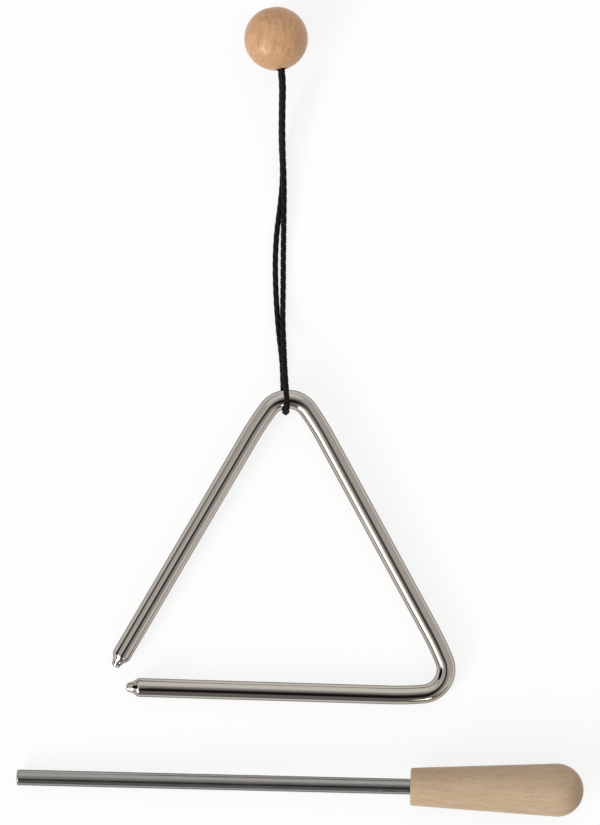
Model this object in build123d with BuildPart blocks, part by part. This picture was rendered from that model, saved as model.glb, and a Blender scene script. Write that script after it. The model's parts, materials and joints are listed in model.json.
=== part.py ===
from build123d import *

import math
import os

# The triangle lies flat with its beater beside it. Millimetres and degrees, +Z up, table at z = 0.

# Bent bar
bar_diameter = 7.2
bend_radius = 9.5
ease_radius = 110.0
ease_turn = 6.5
ease_straight = 0.2
right_side = 142.9
apex_angle = 58.9
corner_angle = 59.8
left_short = 8.85
base_short = 8.85

# Turned tips of the bar
nose_end_diameter = 3.0
nose_root_diameter = 4.4
nose_length = 2.5
nose_round = 0.9
flare_length = 2.1
flare_round = 1.0
shoulder_round = 1.0
shoulder_run = 1.0

# Cord loop and its knot
cord_diameter = 2.0
loop_turn = 4.7
wrap_turn = 45.0
loop_clearance = 0.35
loop_slack = 0.1
loop_skew = 1.8
strand_clearance = 0.3
strand_lean = 17.0
exit_straight = 2.5
run_share = 0.45
knot_diameter = 5.8
knot_length = 6.5
knot_seat_round = 0.8
knot_crown_round = 2.2
knot_seat_clearance = 0.2

# Ball
ball_diameter = 24.4
ball_across = -8.15
ball_away = 137.5
bore_turn = 12.0
bore_tilt = 3.0
bore_clearance = 0.3
neck_length = 5.5
mouth_round = 0.4
pocket_clearance = 0.3
pocket_round = 0.5

# Beater
rod_diameter = 6.0
rod_exposed = 151.0
tang_length = 34.0
rod_tip_round = 0.65
tang_step = 0.2
tang_chamfer = 0.5
glue_gap = 0.05
bore_end_gap = 0.5
handle_length = 66.2
handle_front_diameter = 14.4
handle_end_radius = 10.15
handle_front_round = 0.9
beater_gap = 35.95
beater_turn = 0.52
beater_tip_x = -108.5

# Where the cord goes round the bar, seen from above
loop_x = -9.35
loop_y = 3.43

# Front strand, from the bar to the ball: across and away from the loop, and height of its underside
stacked = cord_diameter + strand_clearance
front_route = [
    (-1.1, 11.2, stacked + 4.1),
    (-1.7, 19.6, stacked + 1.0),
    (-2.5, 30.1, 1.5),
    (-2.65, 42.6, 0.0),
    (-3.0, 56.6, 0.0),
    (-3.2, 70.6, 1.6),
    (-3.45, 82.6, stacked + 0.2),
    (-4.4, 96.1, stacked + 1.5),
    (-4.8, 108.1, stacked + 6.2),
]

# Rear strand, which lies on the table under the bar
rear_route = [
    (-1.6, 5.6, 0.0),
    (-2.15, 14.6, 0.0),
    (-3.8, 25.1, 0.0),
    (-5.2, 37.6, 0.0),
    (-6.05, 51.6, 0.0),
    (-5.9, 63.1, 0.0),
    (-4.6, 75.1, 0.0),
    (-4.0, 86.6, 0.0),
    (-5.05, 98.1, 0.8),
    (-5.3, 109.6, 5.6),
]


def sine(angle):
    return math.sin(math.radians(angle))


def cosine(angle):
    return math.cos(math.radians(angle))


def tangent(angle):
    return math.tan(math.radians(angle))


def heading(angle):
    """Unit vector in a plane, at an angle from its x axis."""
    return Vector(cosine(angle), sine(angle))


def tangent_angle(radius, height, run):
    """Angle of the line from a point at that height to a circle whose centre is a run away."""
    return math.degrees(math.asin(radius / math.hypot(height, run)) - math.atan2(height, run))


def eased_bend(angle):
    """Distance of the easing turns from a corner of that angle, and how far inside it the bend turns."""
    half = angle / 2
    side = bend_radius / tangent(half + ease_turn) + ease_radius * tangent(ease_turn / 2) + ease_straight
    return side * sine(half + ease_turn) / sine(half), side * sine(ease_turn) / sine(half)


# Triangle geometry, in the triangle's own plane with the loop at its origin and the base along x
bar_radius = bar_diameter / 2
cord_radius = cord_diameter / 2
open_angle = 180 - apex_angle - corner_angle
left_leg = right_side * sine(corner_angle) / sine(open_angle) - left_short
base_leg = right_side * sine(apex_angle) / sine(open_angle) - base_short
right_heading = heading(-corner_angle)
left_heading = heading(-corner_angle - apex_angle)
base_heading = heading(180)
bend_centre = -heading(90 + loop_turn) * bend_radius
apex_heading = heading(180 - corner_angle - apex_angle / 2)
corner_heading = heading(-corner_angle / 2)
apex_reach, apex_sink = eased_bend(apex_angle)
base_reach, base_sink = eased_bend(corner_angle)
apex_corner = bend_centre + apex_heading * (bend_radius / sine(apex_angle / 2 + ease_turn) + apex_sink)
base_corner = apex_corner + right_heading * right_side
left_nose = apex_corner + left_heading * left_leg
base_nose = base_corner + base_heading * base_leg

# The bar's apex rests on the rear strand, so the triangle leans a little about its base
apex_lift = cord_diameter + loop_clearance
lean = math.degrees(math.asin(apex_lift / -base_corner.Y))
loop_point = Vector(loop_x, loop_y, bar_radius + apex_lift)
triangle_plane = Plane(loop_point, x_dir=(1, 0, 0), z_dir=Vector(0, 0, 1).rotate(Axis.X, lean))

# Upright plane of the cord where it goes round the bar, and the ball's bore
bar_across = heading(loop_turn)
loop_plane = Plane(loop_point, x_dir=heading(90 + loop_turn), z_dir=bar_across)
ball_radius = ball_diameter / 2
ball_centre = Vector(loop_x + ball_across, loop_y + ball_away, ball_radius)
bore_side = heading(bore_turn)
bore_out = heading(bore_turn - 90) * cosine(bore_tilt) + Vector(0, 0, sine(bore_tilt))
bore_plane = Plane(ball_centre, x_dir=bore_side, z_dir=bore_out)
pocket_plane = Plane(ball_centre, x_dir=bore_side, z_dir=-bore_out)
bore_axis = Axis(ball_centre, bore_out)
bore_radius = cord_diameter + strand_clearance / 2 + bore_clearance
pocket_radius = knot_diameter / 2 + pocket_clearance
neck_floor = ball_radius - neck_length
knot_face = neck_floor - knot_seat_clearance

# The beater rests on its rod's tip and on its handle's round end, so it leans too
rod_radius = rod_diameter / 2
handle_end = rod_exposed + handle_length
dome_centre = handle_end - handle_end_radius
rest_span = dome_centre - rod_tip_round
beater_lean = tangent_angle(handle_end_radius, rod_radius, rest_span)
beater_tip = Vector(
    beater_tip_x,
    loop_point.Y + base_corner.Y * cosine(lean) - beater_gap,
    rod_radius * cosine(beater_lean) - rod_tip_round * sine(beater_lean),
)
beater_heading = heading(beater_turn) * cosine(beater_lean) + Vector(0, 0, sine(beater_lean))
beater_axis = Axis(beater_tip, beater_heading)
beater_side = heading(beater_turn - 90)
rod_plane = Plane(beater_tip, x_dir=beater_side, z_dir=beater_heading)
profile_plane = Plane(beater_tip, x_dir=beater_heading, z_dir=beater_side)


def on_triangle(place):
    """Point of the triangle's plane, placed in the model."""
    return triangle_plane.from_local_coords(place)


def tip_plane(nose, leg_heading):
    """Plane in the triangle's plane, with its x axis from a nose's end into the bar."""
    inward = on_triangle(nose - leg_heading) - on_triangle(nose)
    return Plane(on_triangle(nose), x_dir=inward, z_dir=triangle_plane.z_dir)


# Bent bar with its two turned tips
flare_end = nose_length + flare_length
tip_length = flare_end + shoulder_run
bar_points = [
    left_nose - left_heading * tip_length,
    apex_corner + left_heading * apex_reach,
    apex_corner - apex_heading * apex_sink,
    apex_corner + right_heading * apex_reach,
    base_corner - right_heading * base_reach,
    base_corner - corner_heading * base_sink,
    base_corner + base_heading * base_reach,
    base_nose - base_heading * tip_length,
]
with BuildPart() as triangle_bar:
    with BuildLine() as bar_path:
        bend_radii = (ease_radius, bend_radius, ease_radius) * 2
        FilletPolyline(*[on_triangle(point) for point in bar_points], radius=bend_radii)
    with BuildSketch(Plane(bar_path.line @ 0, z_dir=bar_path.line % 0)):
        Circle(bar_radius)
    sweep(path=bar_path.line)
    for nose, leg_heading in ((left_nose, left_heading), (base_nose, base_heading)):
        turned = tip_plane(nose, leg_heading)
        with BuildSketch(turned):
            with BuildLine():
                FilletPolyline(
                    (0, 0),
                    (0, nose_end_diameter / 2),
                    (nose_length, nose_root_diameter / 2),
                    (flare_end, bar_radius),
                    (tip_length, bar_radius),
                    (tip_length, 0),
                    radius=(nose_round, flare_round, shoulder_round, 0),
                )
                Line((tip_length, 0), (0, 0))
            make_face()
        revolve(axis=Axis(turned.origin, turned.x_dir))


def in_bore(strand, along):
    """Point of a strand in the ball's bore: +1 is the upper strand, -1 the lower one."""
    offset = strand * (cord_diameter + strand_clearance) / 2
    place = Vector(offset * sine(strand_lean), offset * cosine(strand_lean), along)
    return bore_plane.from_local_coords(place)


def by_loop(across, away, underside):
    """Point of the cord's route, from its place beside the loop and the height of its underside."""
    return Vector(loop_x + across, loop_y + away, underside + cord_radius)


def round_bar(out, up, across):
    """Point of the cord where it goes round the bar, beside the loop's upright plane."""
    return loop_plane.from_local_coords(Vector(out, up, across))


# One cord from the knot, along the front strand, round the bar and back along the rear strand
wrap = bar_radius + loop_clearance + cord_radius
wrap_corner = wrap * tangent(wrap_turn / 2)
exit_end = ball_radius + exit_straight
wrap_route = [
    (wrap, wrap, 0.0),
    (-wrap_corner, wrap, 0.0),
    (-wrap - loop_slack, wrap_corner, -0.1 * loop_skew),
    (-wrap - loop_slack, -wrap_corner, -0.6 * loop_skew),
    (-wrap_corner, -wrap, -0.65 * loop_skew),
]
cord_points = [
    in_bore(1, knot_face),
    in_bore(1, exit_end),
    *[by_loop(*place) for place in reversed(front_route)],
    *[round_bar(*place) for place in wrap_route],
    *[by_loop(*place) for place in rear_route],
    in_bore(-1, exit_end),
    in_bore(-1, knot_face),
]
cord_radii = []
for before, point, after in zip(cord_points, cord_points[1:], cord_points[2:]):
    shorter_run = min((point - before).length, (after - point).length)
    half_turn = math.radians((point - before).get_angle(after - point) / 2)
    cord_radii.append(run_share * shorter_run / math.tan(half_turn))
with BuildPart() as cord_loop:
    with BuildLine() as cord_path:
        FilletPolyline(*cord_points, radius=cord_radii)
    with BuildSketch(Plane(cord_path.line @ 0, z_dir=cord_path.line % 0)):
        Circle(cord_radius)
    sweep(path=cord_path.line)
cord_length = cord_path.wire().length
print("cord radii", [round(radius, 1) for radius in cord_radii])
print("cord length", round(cord_length, 1))
tube_volume = math.pi * cord_radius**2 * cord_length
print("cord volume over section times length", round(cord_loop.part.volume / tube_volume, 6))

# Knot of the two cord ends, in the ball's pocket
with BuildPart() as cord_knot:
    with BuildSketch(Plane(bore_plane.from_local_coords(Vector(0, 0, knot_face)), z_dir=-bore_out)):
        Circle(knot_diameter / 2)
    extrude(amount=knot_length)
    knot_rims = cord_knot.edges().filter_by(GeomType.CIRCLE).sort_by(bore_axis)
    fillet(knot_rims[-1], radius=knot_seat_round)
    fillet(knot_rims[0], radius=knot_crown_round)

# Ball, bored for the two strands and with a pocket for the knot from the far side
with BuildPart(pocket_plane) as ball_grip:
    Sphere(ball_radius)
    with Locations((0, 0, ball_radius)):
        CounterBoreHole(bore_radius, pocket_radius, counter_bore_depth=ball_diameter - neck_length)
    bore_rims = ball_grip.edges().filter_by(GeomType.CIRCLE).sort_by(bore_axis)
    fillet(bore_rims[-1], radius=mouth_round)
    fillet(bore_rims[0], radius=pocket_round)

# Beater's rod, with a tang that is glued into the handle up to its shoulder
tang_radius = rod_radius - tang_step
with BuildPart() as beater_rod:
    with BuildSketch(rod_plane):
        Circle(rod_radius)
    extrude(amount=rod_exposed)
    with BuildSketch(rod_plane.offset(rod_exposed)):
        Circle(tang_radius)
    extrude(amount=tang_length)
    rod_rims = beater_rod.edges().filter_by(GeomType.CIRCLE).sort_by(beater_axis)
    fillet(rod_rims[0], radius=rod_tip_round)
    chamfer(rod_rims[-1], length=tang_chamfer)

# Beater's handle: a cone that runs smoothly into a round end, with a blind bore for the rod's tang
handle_front_radius = handle_front_diameter / 2
cone_run = dome_centre - rod_exposed
taper = tangent_angle(handle_end_radius, handle_front_radius, cone_run)
dome_start = (dome_centre - handle_end_radius * sine(taper), handle_end_radius * cosine(taper))
handle_bore_radius = tang_radius + glue_gap
handle_bore_end = rod_exposed + tang_length + bore_end_gap
with BuildPart() as beater_handle:
    with BuildSketch(profile_plane):
        with BuildLine():
            cone = Line((rod_exposed, handle_front_radius), dome_start)
            dome = TangentArc(cone @ 1, (handle_end, 0), tangent=cone % 1)
            Polyline(
                dome @ 1,
                (handle_bore_end, 0),
                (handle_bore_end, handle_bore_radius),
                (rod_exposed, handle_bore_radius),
                cone @ 0,
            )
        make_face()
    revolve(axis=beater_axis)
    front_face = beater_handle.faces().filter_by(GeomType.PLANE).sort_by(beater_axis)[0]
    fillet(front_face.outer_wire().edges(), radius=handle_front_round)

os.makedirs("parts", exist_ok=True)
pieces = {
    "triangle_bar": triangle_bar,
    "cord_loop": cord_loop,
    "cord_knot": cord_knot,
    "ball_grip": ball_grip,
    "beater_rod": beater_rod,
    "beater_handle": beater_handle,
}
for name, piece in pieces.items():
    piece.part.label = name
    export_step(piece.part, f"parts/{name}.step")
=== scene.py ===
import json
import math

import bmesh
import bpy
import numpy as np
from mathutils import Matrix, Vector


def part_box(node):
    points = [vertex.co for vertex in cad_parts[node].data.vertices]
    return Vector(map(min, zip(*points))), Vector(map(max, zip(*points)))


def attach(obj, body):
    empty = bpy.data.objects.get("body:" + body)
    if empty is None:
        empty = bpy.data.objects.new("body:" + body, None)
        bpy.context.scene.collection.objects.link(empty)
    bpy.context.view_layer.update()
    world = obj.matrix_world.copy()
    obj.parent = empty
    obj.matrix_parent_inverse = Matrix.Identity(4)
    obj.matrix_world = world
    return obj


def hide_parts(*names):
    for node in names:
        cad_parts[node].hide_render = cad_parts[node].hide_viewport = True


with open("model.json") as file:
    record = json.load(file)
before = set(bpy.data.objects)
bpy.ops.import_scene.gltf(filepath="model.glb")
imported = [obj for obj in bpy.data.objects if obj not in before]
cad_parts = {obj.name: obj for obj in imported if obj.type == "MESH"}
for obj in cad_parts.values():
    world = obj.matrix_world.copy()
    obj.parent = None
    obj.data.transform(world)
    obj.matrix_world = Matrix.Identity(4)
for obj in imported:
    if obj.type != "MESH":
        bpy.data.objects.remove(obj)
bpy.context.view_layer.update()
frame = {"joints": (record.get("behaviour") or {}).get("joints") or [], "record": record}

# The frame's own places and sizes, in metres
MM = 0.001
UP = np.array((0.0, 0.0, 1.0))
mounts = {mount["name"]: mount for mount in frame["record"]["mounts"]}
joints = {joint["name"]: joint for joint in frame["joints"]}
loop_point = np.array(joints["loop_swing"]["pos_m"])
bar_across = np.array(joints["loop_swing"]["axis"])
ball_centre = np.array(joints["ball_spin"]["pos_m"])
bore_out = np.array(joints["ball_spin"]["axis"])
base_middle = np.array(mounts["base_bar"]["pos_m"])
bar_radius = mounts["base_bar"]["dims"]["r_mm"] * MM
rod_middle = np.array(mounts["beater_shaft"]["pos_m"])
rod_radius = mounts["beater_shaft"]["dims"]["r_mm"] * MM
rod_wall = mounts["beater_shaft"]["dims"]["length_mm"] * MM
beater_heading = -np.array(mounts["beater_shaft"]["axis"])
ball_low, ball_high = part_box("ball_grip")
ball_radius = (ball_high.z - ball_low.z) / 2

# Sizes that the frame doesn't give, in metres, with angles in degrees: the bent bar and its turned tips
bend_radius = 9.5 * MM
ease_radius = 110.0 * MM
ease_turn = 6.5
ease_straight = 0.2 * MM
apex_angle = 58.9
corner_angle = 59.8
left_short = 8.85 * MM
base_short = 8.85 * MM
nose_end_radius = 1.5 * MM
nose_root_radius = 2.2 * MM
nose_length = 2.5 * MM
nose_round = 0.9 * MM
flare_length = 2.1 * MM
tip_ease = 0.6 * MM

# Cord, ball and knot
cord_radius = 1.0 * MM
loop_turn = 4.7
wrap_turn = 45.0
loop_clearance = 0.35 * MM
loop_slack = 0.1 * MM
loop_skew = 1.8 * MM
strand_clearance = 0.3 * MM
strand_lean = 17.0
exit_straight = 2.5 * MM
bore_clearance = 0.3 * MM
neck_length = 5.5 * MM
mouth_round = 0.4 * MM
pocket_radius = 3.2 * MM
pocket_round = 0.5 * MM
knot_length = 6.5 * MM
knot_seat_clearance = 0.2 * MM

# Beater
rod_tip_round = 0.65 * MM
tang_radius = 2.8 * MM
tang_length = 34.0 * MM
bore_gap = 0.05 * MM
bore_end_gap = 0.5 * MM
handle_length = 66.2 * MM
handle_front_radius = 7.2 * MM
handle_end_radius = 10.15 * MM
handle_front_round = 0.9 * MM

# Front strand, from the bar to the ball: across and away from the loop, and height of its underside,
# in millimetres. Where it lies over the rear strand, it is lifted by a cord's thickness and a clearance.
STACKED = (2 * cord_radius + strand_clearance) / MM
FRONT_ROUTE = [
    (-1.1, 11.2, STACKED + 4.1),
    (-1.7, 19.6, STACKED + 1.0),
    (-2.5, 30.1, 1.5),
    (-2.65, 42.6, 0.0),
    (-3.0, 56.6, 0.0),
    (-3.2, 70.6, 1.6),
    (-3.45, 82.6, STACKED + 0.2),
    (-4.4, 96.1, STACKED + 1.5),
    (-4.8, 108.1, STACKED + 6.2),
]

# Rear strand, which lies on the floor under the bar and rises to the ball
REAR_ROUTE = [
    (-1.6, 5.6, 0.0),
    (-2.15, 14.6, 0.0),
    (-3.8, 25.1, 0.0),
    (-5.2, 37.6, 0.0),
    (-6.05, 51.6, 0.0),
    (-5.9, 63.1, 0.0),
    (-4.6, 75.1, 0.0),
    (-4.0, 86.6, 0.0),
    (-5.05, 98.1, 0.8),
    (-5.3, 109.6, 5.6),
]


# Shapes from rings and lines of points

MERGE_DISTANCE = 1e-8
SHARP_EDGE = math.radians(60)


def unit(vector):
    return vector / np.linalg.norm(vector)


def heading(angle):
    """Unit vector in a plane, at an angle in degrees from its x axis."""
    return np.array((math.cos(math.radians(angle)), math.sin(math.radians(angle))))


def distances(line):
    """How far along a line of points each of them lies."""
    return np.concatenate(([0], np.cumsum(np.linalg.norm(np.diff(line, axis=0), axis=1))))


def eased(before, corner, after, steps=8):
    """Points of a soft corner that starts at before and ends at after."""
    t = np.linspace(0, 1, steps + 1)[:, None]
    return (1 - t) ** 2 * np.array(before) + 2 * t * (1 - t) * np.array(corner) + t**2 * np.array(after)


def skin(name, rings, closed=False):
    """Mesh over rings of points, with UVs in metres. A ring of no size becomes one point."""
    rings = np.asarray(rings)
    count, sides = rings.shape[:2]
    steps = np.linalg.norm(np.diff(rings, axis=0, append=rings[:1]), axis=2).mean(axis=1)
    along = np.concatenate(([0], np.cumsum(steps)))
    girth = np.linalg.norm(np.diff(rings, axis=1, append=rings[:, :1]), axis=2).sum(axis=1).max()
    work = bmesh.new()
    uv = work.loops.layers.uv.new("UVMap")
    points = [[work.verts.new(point) for point in ring] for ring in rings]
    for i in range(count if closed else count - 1):
        for j in range(sides):
            nearby = ((i, j), (i, j + 1), (i + 1, j + 1), (i + 1, j))
            face = work.faces.new([points[a % count][b % sides] for a, b in nearby])
            face.smooth = True
            for loop, (a, b) in zip(face.loops, nearby):
                loop[uv].uv = (b / sides * girth, along[a])
    bmesh.ops.remove_doubles(work, verts=work.verts, dist=MERGE_DISTANCE)
    bmesh.ops.recalc_face_normals(work, faces=work.faces)
    for edge in work.edges:
        edge.smooth = edge.calc_face_angle(0.0) < SHARP_EDGE
    mesh = bpy.data.meshes.new(name)
    work.to_mesh(mesh)
    work.free()
    return mesh


def lathe(name, profile, origin, axis, sides=128, closed=False):
    """Turned piece: the profile is pairs of place along the axis and radius."""
    axis = unit(axis)
    side = unit(np.cross(axis, UP))
    lift = np.cross(side, axis)
    turn = np.linspace(0, math.tau, sides, endpoint=False)
    spokes = np.cos(turn)[:, None] * side + np.sin(turn)[:, None] * lift
    rings = [origin + axis * along + radius * spokes for along, radius in profile]
    return skin(name, rings, closed)


def linked(name, data):
    """New object with that data, in the scene."""
    made = bpy.data.objects.new(name, data)
    bpy.context.scene.collection.objects.link(made)
    return made


def seat(mesh, body, node, material):
    """Puts a finished mesh on its body, in place of its CAD node."""
    mesh.materials.append(material)
    piece = linked(mesh.name, mesh)
    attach(piece, body)
    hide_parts(node)
    return piece


# Shader nodes


def add(tree, kind, inputs=None, **settings):
    """New node with its settings, and its inputs given as values or as sockets to link from."""
    made = tree.nodes.new("ShaderNode" + kind)
    for key, value in settings.items():
        setattr(made, key, value)
    for key, value in (inputs or {}).items():
        if isinstance(value, bpy.types.NodeSocket):
            tree.links.new(value, made.inputs[key])
        else:
            made.inputs[key].default_value = value
    return made


def new_material(name):
    material = bpy.data.materials.new(name)
    material.use_nodes = True
    tree = material.node_tree
    return material, tree, tree.nodes["Principled BSDF"]


def emptied(owner):
    """Node tree of a material or world, with no nodes in it."""
    owner.use_nodes = True
    owner.node_tree.nodes.clear()
    return owner.node_tree


def ramp(tree, factor, low, high):
    """Factor spread smoothly over 0 to 1 between two values."""
    inputs = {"Value": factor, "From Min": low, "From Max": high}
    return add(tree, "MapRange", inputs, interpolation_type="SMOOTHSTEP").outputs["Result"]


def scaled(tree, factor, amount):
    return add(tree, "Math", {0: factor, 1: amount}, operation="MULTIPLY").outputs["Value"]


def mixed(tree, factor, first, second):
    return add(tree, "MixRGB", {"Fac": factor, "Color1": first, "Color2": second}).outputs["Color"]


def stretched(tree, vector, scale):
    """Vector with a scale of its own in each direction."""
    return add(tree, "Mapping", {"Vector": vector, "Scale": scale}).outputs["Vector"]


def noise(tree, vector, detail, scale=1.0):
    """Outputs of a noise texture."""
    return add(tree, "TexNoise", {"Vector": vector, "Scale": scale, "Detail": detail}).outputs


# Drawn metal: marks to the metre round and along the bar, and the share of the colour where it clouds
LINE_SCALE = (2600.0, 22.0, 1.0)
CLOUD_SCALE = (220.0, 60.0, 1.0)
CLOUD_EDGES = (0.3, 0.7)
CLOUD_TINT = 0.93


def drawn_metal(name, colour, rim, roughness, spread, line_depth):
    """Drawn and polished bar: lines along its length that show in the gloss, and faint clouding."""
    material, tree, shader = new_material(name)
    uv = add(tree, "UVMap", uv_map="UVMap").outputs["UV"]
    lines = noise(tree, stretched(tree, uv, LINE_SCALE), detail=3.0)["Fac"]
    clouds = noise(tree, stretched(tree, uv, CLOUD_SCALE), detail=4.0)["Fac"]
    gloss = {"Value": clouds, "From Min": CLOUD_EDGES[0], "From Max": CLOUD_EDGES[1]}
    gloss |= {"To Min": roughness - spread, "To Max": roughness + spread}
    tree.links.new(add(tree, "MapRange", gloss).outputs["Result"], shader.inputs["Roughness"])
    relief = add(tree, "Bump", {"Height": lines, "Strength": 1.0, "Distance": line_depth})
    tree.links.new(relief.outputs["Normal"], shader.inputs["Normal"])
    tint = tuple(CLOUD_TINT * value for value in colour[:3]) + (1.0,)
    tree.links.new(mixed(tree, clouds, tint, colour), shader.inputs["Base Color"])
    shader.inputs["Metallic"].default_value = 1.0
    shader.inputs["Specular Tint"].default_value = rim
    return material


# Beech: marks to the metre, the same all round or else along the grain and across it
SWAY_SCALE = 140.0
STREAK_SCALE = (70.0, 900.0, 900.0)
PORE_SCALE = (160.0, 3200.0, 3200.0)
FLECK_SCALE = (260.0, 1300.0, 1300.0)
PATCH_SCALE = 110.0

# Where each mark starts to show and where it is full
RING_EDGES = (0.15, 1.0)
STREAK_EDGES = (0.42, 0.66)
PORE_EDGES = (0.4, 0.75)
FLECK_EDGES = (0.32, 0.08)
PATCH_EDGES = (0.6, 0.42)
SIDE_GRAIN = (1.0, 0.5)
END_GRAIN = (0.4, 1.0)

# How far the grain sways, in metres, how much the rings waver, and the wave texture's radians in a unit
SWAY_REACH = (0.003, 0.003, 0.003)
RING_WAVER = 1.2
WAVE_RATE = 20

# How dark and deep the pores are, and how much light the bare wood mirrors
PORE_DARKNESS = 0.4
PORE_RELIEF = 0.6
PORE_DEPTH = 0.00003
WOOD_SPECULAR = 0.15


def along_grain(tree, vector, grain_turn):
    """Vector turned so that its X runs along the grain."""
    inputs = {"Vector": vector, "Rotation": grain_turn}
    return add(tree, "VectorRotate", inputs, rotation_type="EULER_XYZ").outputs["Vector"]


def beech(name, pale, dark, fleck, grain_turn, pith, ring_spacing, depths, gloss):
    """Beech through the whole piece: faint rings round a pith, wavy streaks, pores and short flecks.

    The depths are those of rings, streaks, flecks and end grain.
    The gloss is the wood's roughness, the coat's weight and the coat's roughness.
    """
    ring_depth, streak_depth, fleck_depth, end_depth = depths
    roughness, coat, coat_roughness = gloss
    material, tree, shader = new_material(name)
    places = add(tree, "TexCoord").outputs
    grain = along_grain(tree, places["Object"], grain_turn)
    facing = along_grain(tree, places["Normal"], grain_turn)
    facing_end = add(tree, "SeparateXYZ", {"Vector": facing}).outputs["X"]
    facing_end = add(tree, "Math", {0: facing_end}, operation="ABSOLUTE").outputs["Value"]
    sway = noise(tree, grain, detail=2.0, scale=SWAY_SCALE)["Color"]
    swayed = add(tree, "VectorMath", {0: sway, 1: SWAY_REACH, 2: grain}, operation="MULTIPLY_ADD")
    wavy = swayed.outputs["Vector"]
    centred = add(tree, "VectorMath", {0: wavy, 1: pith}, operation="SUBTRACT").outputs["Vector"]
    ring_scale = math.tau / WAVE_RATE / ring_spacing
    wave = {"Vector": centred, "Scale": ring_scale, "Distortion": RING_WAVER, "Detail": 2.0}
    kind = {"wave_type": "RINGS", "rings_direction": "X", "wave_profile": "SAW"}
    rings = add(tree, "TexWave", wave, **kind).outputs["Fac"]
    streaks = noise(tree, stretched(tree, wavy, STREAK_SCALE), detail=3.0)["Fac"]
    pores = noise(tree, stretched(tree, wavy, PORE_SCALE), detail=2.0)["Fac"]
    cell = {"Vector": stretched(tree, wavy, FLECK_SCALE), "Scale": 1.0, "Randomness": 1.0}
    cells = add(tree, "TexVoronoi", cell).outputs["Distance"]
    patches = noise(tree, grain, detail=3.0, scale=PATCH_SCALE)["Fac"]
    streaked = scaled(tree, ramp(tree, streaks, *STREAK_EDGES), ramp(tree, facing_end, *SIDE_GRAIN))
    flecked = scaled(tree, ramp(tree, cells, *FLECK_EDGES), ramp(tree, patches, *PATCH_EDGES))
    colour = mixed(tree, scaled(tree, ramp(tree, rings, *RING_EDGES), ring_depth), pale, dark)
    colour = mixed(tree, scaled(tree, streaked, streak_depth), colour, dark)
    colour = mixed(tree, scaled(tree, ramp(tree, pores, *PORE_EDGES), PORE_DARKNESS), colour, dark)
    colour = mixed(tree, scaled(tree, flecked, fleck_depth), colour, fleck)
    colour = mixed(tree, scaled(tree, ramp(tree, facing_end, *END_GRAIN), end_depth), colour, fleck)
    tree.links.new(colour, shader.inputs["Base Color"])
    relief = add(tree, "Bump", {"Height": pores, "Strength": PORE_RELIEF, "Distance": PORE_DEPTH})
    tree.links.new(relief.outputs["Normal"], shader.inputs["Normal"])
    shader.inputs["Roughness"].default_value = roughness
    shader.inputs["Specular IOR Level"].default_value = WOOD_SPECULAR
    shader.inputs["Coat Weight"].default_value = coat
    shader.inputs["Coat Roughness"].default_value = coat_roughness
    return material


# Yarn: filaments to the metre round and along a strand, their colours, relief and gloss
YARN_SCALE = (14000.0, 900.0, 1.0)
YARN_EDGES = (0.3, 0.7)
YARN_DARK = (0.004, 0.004, 0.0042, 1)
YARN_PALE = (0.012, 0.0118, 0.0118, 1)
YARN_DEPTH = 0.00006
YARN_ROUGHNESS = 0.6
YARN_SPECULAR = 0.14
YARN_SHEEN = 0.02


def braided_cord(name):
    """Black polyester yarn: fine filaments along each strand, with a little sheen."""
    material, tree, shader = new_material(name)
    uv = add(tree, "UVMap", uv_map="UVMap").outputs["UV"]
    yarn = noise(tree, stretched(tree, uv, YARN_SCALE), detail=2.0)["Fac"]
    colour = mixed(tree, ramp(tree, yarn, *YARN_EDGES), YARN_DARK, YARN_PALE)
    tree.links.new(colour, shader.inputs["Base Color"])
    relief = add(tree, "Bump", {"Height": yarn, "Strength": 1.0, "Distance": YARN_DEPTH})
    tree.links.new(relief.outputs["Normal"], shader.inputs["Normal"])
    shader.inputs["Roughness"].default_value = YARN_ROUGHNESS
    shader.inputs["Specular IOR Level"].default_value = YARN_SPECULAR
    shader.inputs["Sheen Weight"].default_value = YARN_SHEEN
    return material


plated_bar = drawn_metal(
    "plated_bar",
    colour=(0.55, 0.51, 0.465, 1),
    rim=(0.15, 0.15, 0.15, 1),
    roughness=0.035,
    spread=0.015,
    line_depth=0.000001,
)
satin_steel = drawn_metal(
    "satin_steel",
    colour=(0.36, 0.352, 0.34, 1),
    rim=(0.15, 0.15, 0.15, 1),
    roughness=0.2,
    spread=0.04,
    line_depth=0.000012,
)
lacquered_beech = beech(
    "lacquered_beech",
    pale=(0.84, 0.495, 0.268, 1),
    dark=(0.6, 0.325, 0.162, 1),
    fleck=(0.45, 0.17, 0.075, 1),
    grain_turn=(0.0, 0.0, math.radians(-88)),
    pith=(0.0, 0.0, -0.004),
    ring_spacing=0.0019,
    depths=(0.3, 0.65, 0.5, 0.25),
    gloss=(0.4, 0.38, 0.2),
)
pale_beech = beech(
    "pale_beech",
    pale=(0.69, 0.515, 0.35, 1),
    dark=(0.57, 0.405, 0.262, 1),
    fleck=(0.36, 0.225, 0.125, 1),
    grain_turn=(0.0, math.radians(2), 0.0),
    pith=(0.0, -0.16, -0.035),
    ring_spacing=0.0042,
    depths=(0.3, 0.6, 0.45, 0.4),
    gloss=(0.5, 0.1, 0.2),
)
black_cord = braided_cord("black_cord")


# Bent bar, on a plane that leans a little about the base. Its stations are spaced by an angle in radians
# round a bend, where there are a few at least, and by a length between bends.

BEND_STEP = 0.04
LEAST_STATIONS = 4
STRAIGHT_STEP = 5.0 * MM
triangle_side = np.array((1.0, 0.0, 0.0))
rise = loop_point - base_middle
rise = rise - triangle_side * rise.dot(triangle_side)
triangle_depth = np.linalg.norm(rise)
triangle_rise = rise / triangle_depth
triangle_normal = np.cross(triangle_side, triangle_rise)


def on_triangle(flat):
    """Direction in the triangle's plane, as one in the model."""
    return flat[0] * triangle_side + flat[1] * triangle_rise


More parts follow.
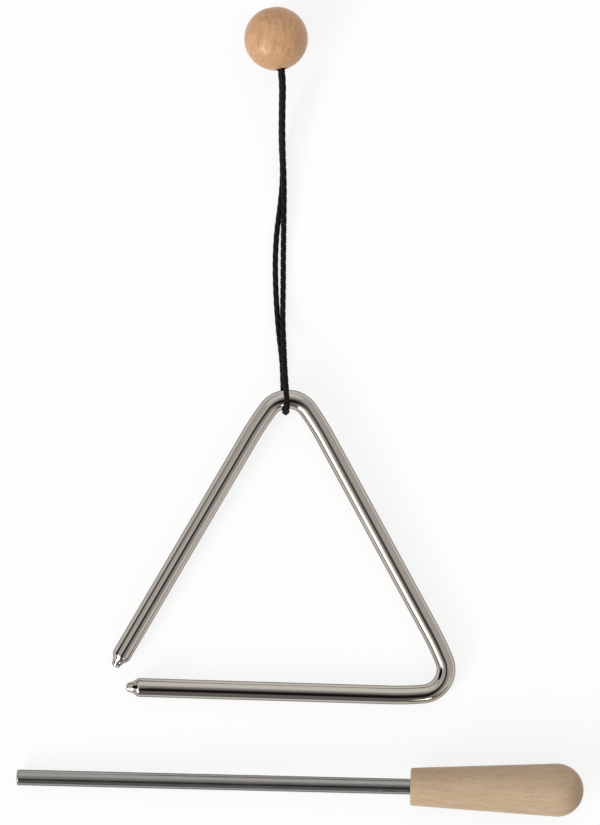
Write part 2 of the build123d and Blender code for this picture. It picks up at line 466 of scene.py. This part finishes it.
def bend(before, corner, after, radius):
    """Places and headings of the bar round one turn of its line."""
    inward, outward = unit(corner - before), unit(after - corner)
    cross = inward[0] * outward[1] - inward[1] * outward[0]
    turn = math.copysign(math.acos(inward.dot(outward)), cross)
    side = math.copysign(1, turn) * np.array((-inward[1], inward[0]))
    start = corner - inward * radius * math.tan(abs(turn) / 2)
    centre = start + side * radius
    stations = []
    for angle in np.linspace(0, turn, LEAST_STATIONS + round(abs(turn) / BEND_STEP)):
        c, s = math.cos(angle), math.sin(angle)
        spin = np.array(((c, -s), (s, c)))
        stations.append((centre - spin @ side * radius, spin @ inward))
    return stations


def straight(first, last):
    """Stations of the bar between two others."""
    run = last[0] - first[0]
    count = max(1, round(np.linalg.norm(run) / STRAIGHT_STEP))
    return [(first[0] + run * share, first[1], bar_radius) for share in np.linspace(0, 1, count + 1)[1:-1]]


def eased_bend(angle):
    """For a corner of that angle: how far from it the easing turns lie, and how far inside it the bend."""
    half, ease = math.radians(angle / 2), math.radians(ease_turn)
    side = bend_radius / math.tan(half + ease) + ease_radius * math.tan(ease / 2) + ease_straight
    return side * math.sin(half + ease) / math.sin(half), side * math.sin(ease) / math.sin(half)


def tip_profile():
    """Distance from a nose's end and radius, from the end's middle to the full bar."""
    flare_end = nose_length + flare_length
    taper = (nose_root_radius - nose_end_radius) / nose_length
    flare = (bar_radius - nose_root_radius) / flare_length
    nose_edge = (nose_round, nose_end_radius + taper * nose_round)
    root_start = (nose_length - tip_ease, nose_root_radius - taper * tip_ease)
    root_end = (nose_length + tip_ease, nose_root_radius + flare * tip_ease)
    shoulder_start = (flare_end - tip_ease, bar_radius - flare * tip_ease)
    shoulder_end = (flare_end + tip_ease, bar_radius)
    return [
        (0.0, 0.0),
        *eased((0.0, nose_end_radius - nose_round), (0.0, nose_end_radius), nose_edge),
        *eased(root_start, (nose_length, nose_root_radius), root_end),
        *eased(shoulder_start, (flare_end, bar_radius), shoulder_end),
    ]


def bent_bar(sides=96):
    """One bar from the left nose over the apex and the closed corner to the base's nose."""
    to_left = heading(-corner_angle - apex_angle)
    to_right = heading(-corner_angle)
    to_open = heading(180)
    to_apex = heading(180 - corner_angle - apex_angle / 2)
    to_corner = heading(-corner_angle / 2)
    apex_reach, apex_sink = eased_bend(apex_angle)
    corner_reach, corner_sink = eased_bend(corner_angle)
    bend_centre = -heading(90 + loop_turn) * bend_radius
    apex_rise = bend_radius / math.sin(math.radians(apex_angle / 2 + ease_turn)) + apex_sink
    apex = bend_centre + to_apex * apex_rise
    right_side = (apex[1] + triangle_depth) / math.sin(math.radians(corner_angle))
    open_sine = math.sin(math.radians(180 - apex_angle - corner_angle))
    left_leg = right_side * math.sin(math.radians(corner_angle)) / open_sine - left_short
    base_leg = right_side * math.sin(math.radians(apex_angle)) / open_sine - base_short
    corner = apex + to_right * right_side
    left_nose = apex + to_left * left_leg
    base_nose = corner + to_open * base_leg
    points = [
        left_nose,
        apex + to_left * apex_reach,
        apex - to_apex * apex_sink,
        apex + to_right * apex_reach,
        corner - to_right * corner_reach,
        corner - to_corner * corner_sink,
        corner + to_open * corner_reach,
        base_nose,
    ]
    turn_radii = (ease_radius, bend_radius, ease_radius) * 2
    tip = tip_profile()
    stations = [(left_nose - to_left * far, -to_left, radius) for far, radius in tip]
    for before, point, after, turn_radius in zip(points, points[1:], points[2:], turn_radii):
        turned = bend(before, point, after, turn_radius)
        stations += straight(stations[-1], turned[0])
        stations += [(middle, direction, bar_radius) for middle, direction in turned]
    end_tip = [(base_nose - to_open * far, to_open, radius) for far, radius in reversed(tip)]
    stations += straight(stations[-1], end_tip[0]) + end_tip
    turn = np.linspace(0, math.tau, sides, endpoint=False)
    rings = []
    for middle, direction, radius in stations:
        side = on_triangle((-direction[1], direction[0]))
        spokes = np.cos(turn)[:, None] * side + np.sin(turn)[:, None] * triangle_normal
        rings.append(loop_point + on_triangle(middle) + radius * spokes)
    return skin("bent_bar", rings)


seat(bent_bar(), "triangle", "triangle_bar", plated_bar)


# Cord

bore_side = unit(np.cross(UP, bore_out))
bore_lift = np.cross(bore_out, bore_side)
neck_floor = ball_radius - neck_length
knot_face = neck_floor - knot_seat_clearance
exit_end = ball_radius + exit_straight
wrap = bar_radius + loop_clearance + cord_radius
wrap_corner = wrap * math.tan(math.radians(wrap_turn / 2))


def in_bore(strand, along):
    """Point of a strand in the ball's bore: +1 is the upper strand, -1 the lower one."""
    lean = math.radians(strand_lean)
    off = strand * (2 * cord_radius + strand_clearance) / 2
    return ball_centre + off * (math.sin(lean) * bore_side + math.cos(lean) * bore_lift) + along * bore_out


def by_loop(across, away, underside):
    """Point of the route, from its place beside the loop and its underside's height, in millimetres."""
    height = underside * MM + cord_radius
    return np.array((loop_point[0] + across * MM, loop_point[1] + away * MM, height))


def round_bar(out, up, across):
    """Point of the cord where it goes round the bar, beside the loop's upright plane."""
    return loop_point + out * np.cross(UP, bar_across) + up * UP + across * bar_across


def smooth_line(points, spacing):
    """Evenly spaced points along the NURBS line that has these points as its control points."""
    curve = bpy.data.curves.new("route", "CURVE")
    curve.dimensions = "3D"
    spline = curve.splines.new("NURBS")
    spline.points.add(len(points) - 1)
    for control, point in zip(spline.points, points):
        control.co = (*point, 1.0)
    spline.order_u = 3
    spline.use_endpoint_u = True
    spline.resolution_u = 24
    holder = bpy.data.objects.new("route", curve)
    traced = bpy.data.meshes.new_from_object(holder)
    line = np.array([vertex.co for vertex in traced.vertices])
    bpy.data.meshes.remove(traced)
    bpy.data.objects.remove(holder)
    bpy.data.curves.remove(curve)
    far = distances(line)
    marks = np.linspace(0, far[-1], round(far[-1] / spacing) + 1)
    return np.stack([np.interp(marks, far, line[:, k]) for k in range(3)], axis=1)


def carried_frames(line):
    """Two cross directions at each point of a line, carried along it without twist."""
    headings = np.gradient(line, axis=0)
    headings /= np.linalg.norm(headings, axis=1)[:, None]
    nearly_up = UP + 0.01
    side = unit(np.cross(headings[0], nearly_up))
    sides = []
    for direction in headings:
        side = unit(side - direction * side.dot(direction))
        sides.append(side)
    sides = np.array(sides)
    return sides, np.cross(headings, sides)


# Braid: length of one turn, strands that go each way, shares of the cord's radius, and steps of the mesh
BRAID_PITCH = 11.0 * MM
BRAID_PAIRS = 3
CORE_SHARE = 0.7
MIDDLE_SHARE = 0.78
WEAVE_SHARE = 0.16
HALF_THICK_SHARE = 0.22
HALF_WIDE_SHARE = 0.6
YARN_SIDES = 8
CORD_STEP = 0.3 * MM


def braid(name, line, radius):
    """Cord with a core and strands that go round it both ways, over and under each other."""
    sides, lifts = carried_frames(line)
    ahead = np.cross(sides, lifts)
    turns = math.tau * distances(line) / BRAID_PITCH
    middle = MIDDLE_SHARE * radius
    ring = np.linspace(0, math.tau, YARN_SIDES, endpoint=False)
    ring_across, ring_out = np.cos(ring)[:, None], np.sin(ring)[:, None]
    core = CORE_SHARE * radius * (ring_across * sides[:, None] + ring_out * lifts[:, None])
    strands = [line[:, None] + core]
    for way in (1, -1):
        lay = math.atan2(math.tau * middle, BRAID_PITCH) * way
        reach = middle + way * WEAVE_SHARE * radius * np.cos(2 * BRAID_PAIRS * turns)
        for pair in range(BRAID_PAIRS):
            angle = way * turns + math.tau * pair / BRAID_PAIRS
            spoke = np.cos(angle)[:, None] * sides + np.sin(angle)[:, None] * lifts
            round_it = -np.sin(angle)[:, None] * sides + np.cos(angle)[:, None] * lifts
            across = math.cos(lay) * round_it - math.sin(lay) * ahead
            wide = HALF_WIDE_SHARE * radius * ring_across * across[:, None]
            thick = HALF_THICK_SHARE * radius * ring_out * spoke[:, None]
            strands.append((line + reach[:, None] * spoke)[:, None] + wide + thick)
    work = bmesh.new()
    for rings in strands:
        strand = skin("strand", rings)
        work.from_mesh(strand)
        bpy.data.meshes.remove(strand)
    bmesh.ops.holes_fill(work, edges=[edge for edge in work.edges if edge.is_boundary])
    mesh = bpy.data.meshes.new(name)
    work.to_mesh(mesh)
    work.free()
    return mesh


wrap_route = [
    (wrap, wrap, 0.0),
    (-wrap_corner, wrap, 0.0),
    (-wrap - loop_slack, wrap_corner, -0.1 * loop_skew),
    (-wrap - loop_slack, -wrap_corner, -0.6 * loop_skew),
    (-wrap_corner, -wrap, -0.65 * loop_skew),
]
cord_points = [
    in_bore(1, knot_face),
    in_bore(1, exit_end),
    *[by_loop(*spot) for spot in reversed(FRONT_ROUTE)],
    *[round_bar(*spot) for spot in wrap_route],
    *[by_loop(*spot) for spot in REAR_ROUTE],
    in_bore(-1, exit_end),
    in_bore(-1, knot_face),
]
cord_line = smooth_line(cord_points, CORD_STEP)
hanging_cord = braid("hanging_cord", cord_line, cord_radius)
cord = seat(hanging_cord, "hanger", "cord_loop", black_cord)


# Knot of the two cord ends, in the ball's pocket


def end_knot(spread=0.6 * MM, height=1.35 * MM, steps=220):
    """Overhand knot, drawn tight against the bore's neck."""
    turn = np.linspace(0, math.tau, steps)
    across = spread * (np.sin(turn) + 2 * np.sin(2 * turn))[:, None]
    lift = spread * (np.cos(turn) - 2 * np.cos(2 * turn))[:, None]
    deep = (knot_face - knot_length / 2 + height * np.sin(3 * turn))[:, None]
    line = ball_centre + across * bore_side + lift * bore_lift + deep * bore_out
    return braid("end_knot", line, cord_radius)


knot = seat(end_knot(), "hanger", "cord_knot", black_cord)


# Ball


def wooden_ball(rings=120):
    """Ball, bored for the two strands, with the knot's pocket drilled from the far side."""
    bore_radius = 2 * cord_radius + strand_clearance / 2 + bore_clearance

    def on_ball(angle):
        return (ball_radius * math.cos(angle), ball_radius * math.sin(angle))

    mouth = math.asin(bore_radius / ball_radius)
    pocket = math.pi - math.asin(pocket_radius / ball_radius)
    outside_start = mouth + mouth_round / ball_radius
    outside_end = pocket - pocket_round / ball_radius
    mouth_edge = (on_ball(mouth)[0] - mouth_round, bore_radius)
    pocket_edge = (on_ball(pocket)[0] + pocket_round, pocket_radius)
    profile = [
        *eased(mouth_edge, on_ball(mouth), on_ball(outside_start)),
        *[on_ball(angle) for angle in np.linspace(outside_start, outside_end, rings)[1:-1]],
        *eased(on_ball(outside_end), on_ball(pocket), pocket_edge),
        (neck_floor, pocket_radius),
        (neck_floor, bore_radius),
    ]
    return lathe("wooden_ball", profile, ball_centre, bore_out, closed=True)


seat(wooden_ball(), "ball", "ball_grip", lacquered_beech)


# Beater

rod_tip = rod_middle - beater_heading * (rod_wall / 2 + rod_tip_round)
rod_exposed = rod_wall + rod_tip_round


def steel_rod(rings=30, first_share=0.01):
    """Plain rod with a rounded tip and a thinner tang that sits in the handle."""
    profile = [
        (0.0, 0.0),
        *eased((0.0, rod_radius - rod_tip_round), (0.0, rod_radius), (rod_tip_round, rod_radius)),
        *[(share * rod_exposed, rod_radius) for share in np.linspace(first_share, 1, rings)],
        (rod_exposed, tang_radius),
        (rod_exposed + tang_length, tang_radius),
        (rod_exposed + tang_length, 0.0),
    ]
    return lathe("steel_rod", profile, rod_tip, beater_heading)


def turned_handle(cone_rings=14, dome_rings=48):
    """Cone with a softened front edge that runs smoothly into a round end, bored for the rod's tang."""
    dome_centre = rod_exposed + handle_length - handle_end_radius
    run = dome_centre - rod_exposed
    reach = math.hypot(handle_front_radius, run)
    taper = math.asin(handle_end_radius / reach) - math.atan2(handle_front_radius, run)
    slope = math.tan(taper)
    front_start = (rod_exposed, handle_front_radius - handle_front_round)
    front_edge = (rod_exposed + handle_front_round, handle_front_radius + slope * handle_front_round)
    dome = [
        (dome_centre + handle_end_radius * math.sin(angle), handle_end_radius * math.cos(angle))
        for angle in np.linspace(-taper, math.pi / 2, dome_rings)
    ]
    bore_end = rod_exposed + tang_length + bore_end_gap
    bore_radius = tang_radius + bore_gap
    cone_share = np.linspace(0, 1, cone_rings)[1:-1, None]
    profile = [
        (bore_end, 0.0),
        (bore_end, bore_radius),
        (rod_exposed, bore_radius),
        *eased(front_start, (rod_exposed, handle_front_radius), front_edge),
        *(np.array(front_edge) * (1 - cone_share) + np.array(dome[0]) * cone_share),
        *dome,
    ]
    return lathe("turned_handle", profile, rod_tip, beater_heading)


seat(steel_rod(), "beater", "beater_rod", satin_steel)
seat(turned_handle(), "beater", "beater_handle", pale_beech)


# Floor, light and camera. The floor lies just under the object, and its glow is for rays that show it.

FLOOR_HEIGHT = -0.0001
FLOOR_PAINT = (0.25, 0.25, 0.25, 1)
FLOOR_GLOW = 0.8


def white_floor(size=6.0):
    """White floor that keeps a faint shadow."""
    half = size / 2
    outline = [(-half, -half), (half, -half), (half, half), (-half, half)]
    mesh = bpy.data.meshes.new("floor")
    mesh.from_pydata([(x, y, FLOOR_HEIGHT) for x, y in outline], [], [(0, 1, 2, 3)])
    material = bpy.data.materials.new("white_floor")
    tree = emptied(material)
    path = add(tree, "LightPath").outputs
    seen = path["Is Camera Ray"]
    for ray in ("Is Glossy Ray", "Is Transmission Ray"):
        seen = add(tree, "Math", {0: seen, 1: path[ray]}, operation="MAXIMUM").outputs["Value"]
    paint = add(tree, "BsdfDiffuse", {"Color": FLOOR_PAINT})
    light = add(tree, "Emission", {"Strength": scaled(tree, seen, FLOOR_GLOW)})
    both = add(tree, "AddShader", {0: paint.outputs["BSDF"], 1: light.outputs["Emission"]})
    add(tree, "OutputMaterial", {"Surface": both.outputs["Shader"]})
    mesh.materials.append(material)
    floor = linked("floor", mesh)


def toward(azimuth, from_zenith):
    """Direction in the studio: azimuth from +X, and angle from straight up, in degrees."""
    flat = heading(azimuth) * math.sin(math.radians(from_zenith))
    return (*flat, math.cos(math.radians(from_zenith)))


# Shade of the whole studio, and the slightly warm tint of its patches
STUDIO_SHADE = (0.62, 0.615, 0.605, 1)
STUDIO_TINT = (1.0, 0.99, 0.975)

# Patches of the studio, each over those before it: brightness, azimuth, angle from straight up, and the
# angles from its middle where its fade starts and ends, in degrees
STUDIO = [
    (0.35, 0, 180, 92, 99),
    (0.95, 90, 57, 15, 32),
    (0.95, 120, 46, 12, 20),
    (0.86, -30, 68, 8, 22),
    (0.42, -42, 32, 6, 20),
    (0.78, 150, 17, 4, 12),
    (0.2, -90, 72, 26, 42),
    (0.3, 60, 10, 4, 18),
    (0.07, -50, 8, 6, 14),
    (0.012, -90, 24, 9, 22),
    (6.0, -76, 70, 3, 9),
    (1.4, 214, 56, 12, 28),
    (0.015, 185, 60, 10, 14),
    (0.015, 174, 67, 17, 20),
    (3.0, 203, 52, 3, 10),
    (6.0, 213, 58, 3, 10),
    (13.0, 223, 65, 3, 10),
    (13.0, 233, 70, 3, 10),
]


def studio_world():
    """Pale studio with bright and dark patches, which the metal shows, and plain white for the camera."""
    world = bpy.data.worlds.new("studio")
    bpy.context.scene.world = world
    tree = emptied(world)
    where = add(tree, "TexCoord").outputs["Generated"]
    shade = STUDIO_SHADE
    for level, azimuth, from_zenith, inner, outer in STUDIO:
        middle = toward(azimuth, from_zenith)
        near = add(tree, "VectorMath", {0: where, 1: middle}, operation="DOT_PRODUCT").outputs["Value"]
        edges = [math.cos(math.radians(angle)) for angle in (outer, inner)]
        colour = (*[level * part for part in STUDIO_TINT], 1)
        shade = mixed(tree, ramp(tree, near, *edges), shade, colour)
    lit = add(tree, "Background", {"Color": shade})
    white = add(tree, "Background", {"Color": (1, 1, 1, 1)})
    seen = add(tree, "LightPath").outputs["Is Camera Ray"]
    both = add(tree, "MixShader", {0: seen, 1: lit.outputs["Background"], 2: white.outputs["Background"]})
    add(tree, "OutputWorld", {"Surface": both.outputs["Shader"]})


def photo_camera(distance=1.75, view_height=0.3173, turn=1.71, centre=(-0.004115, -0.00152)):
    """Camera straight above, turned as the photograph is, with lengths in metres and the turn in degrees."""
    lens = bpy.data.cameras.new("camera")
    lens.sensor_width = 36.0
    lens.lens = lens.sensor_width * distance / view_height
    camera = linked("camera", lens)
    camera.location = (*centre, distance)
    camera.rotation_euler = (0.0, 0.0, math.radians(turn))
    bpy.context.scene.camera = camera


white_floor()
studio_world()
photo_camera()
bpy.context.scene.view_settings.view_transform = "Standard"
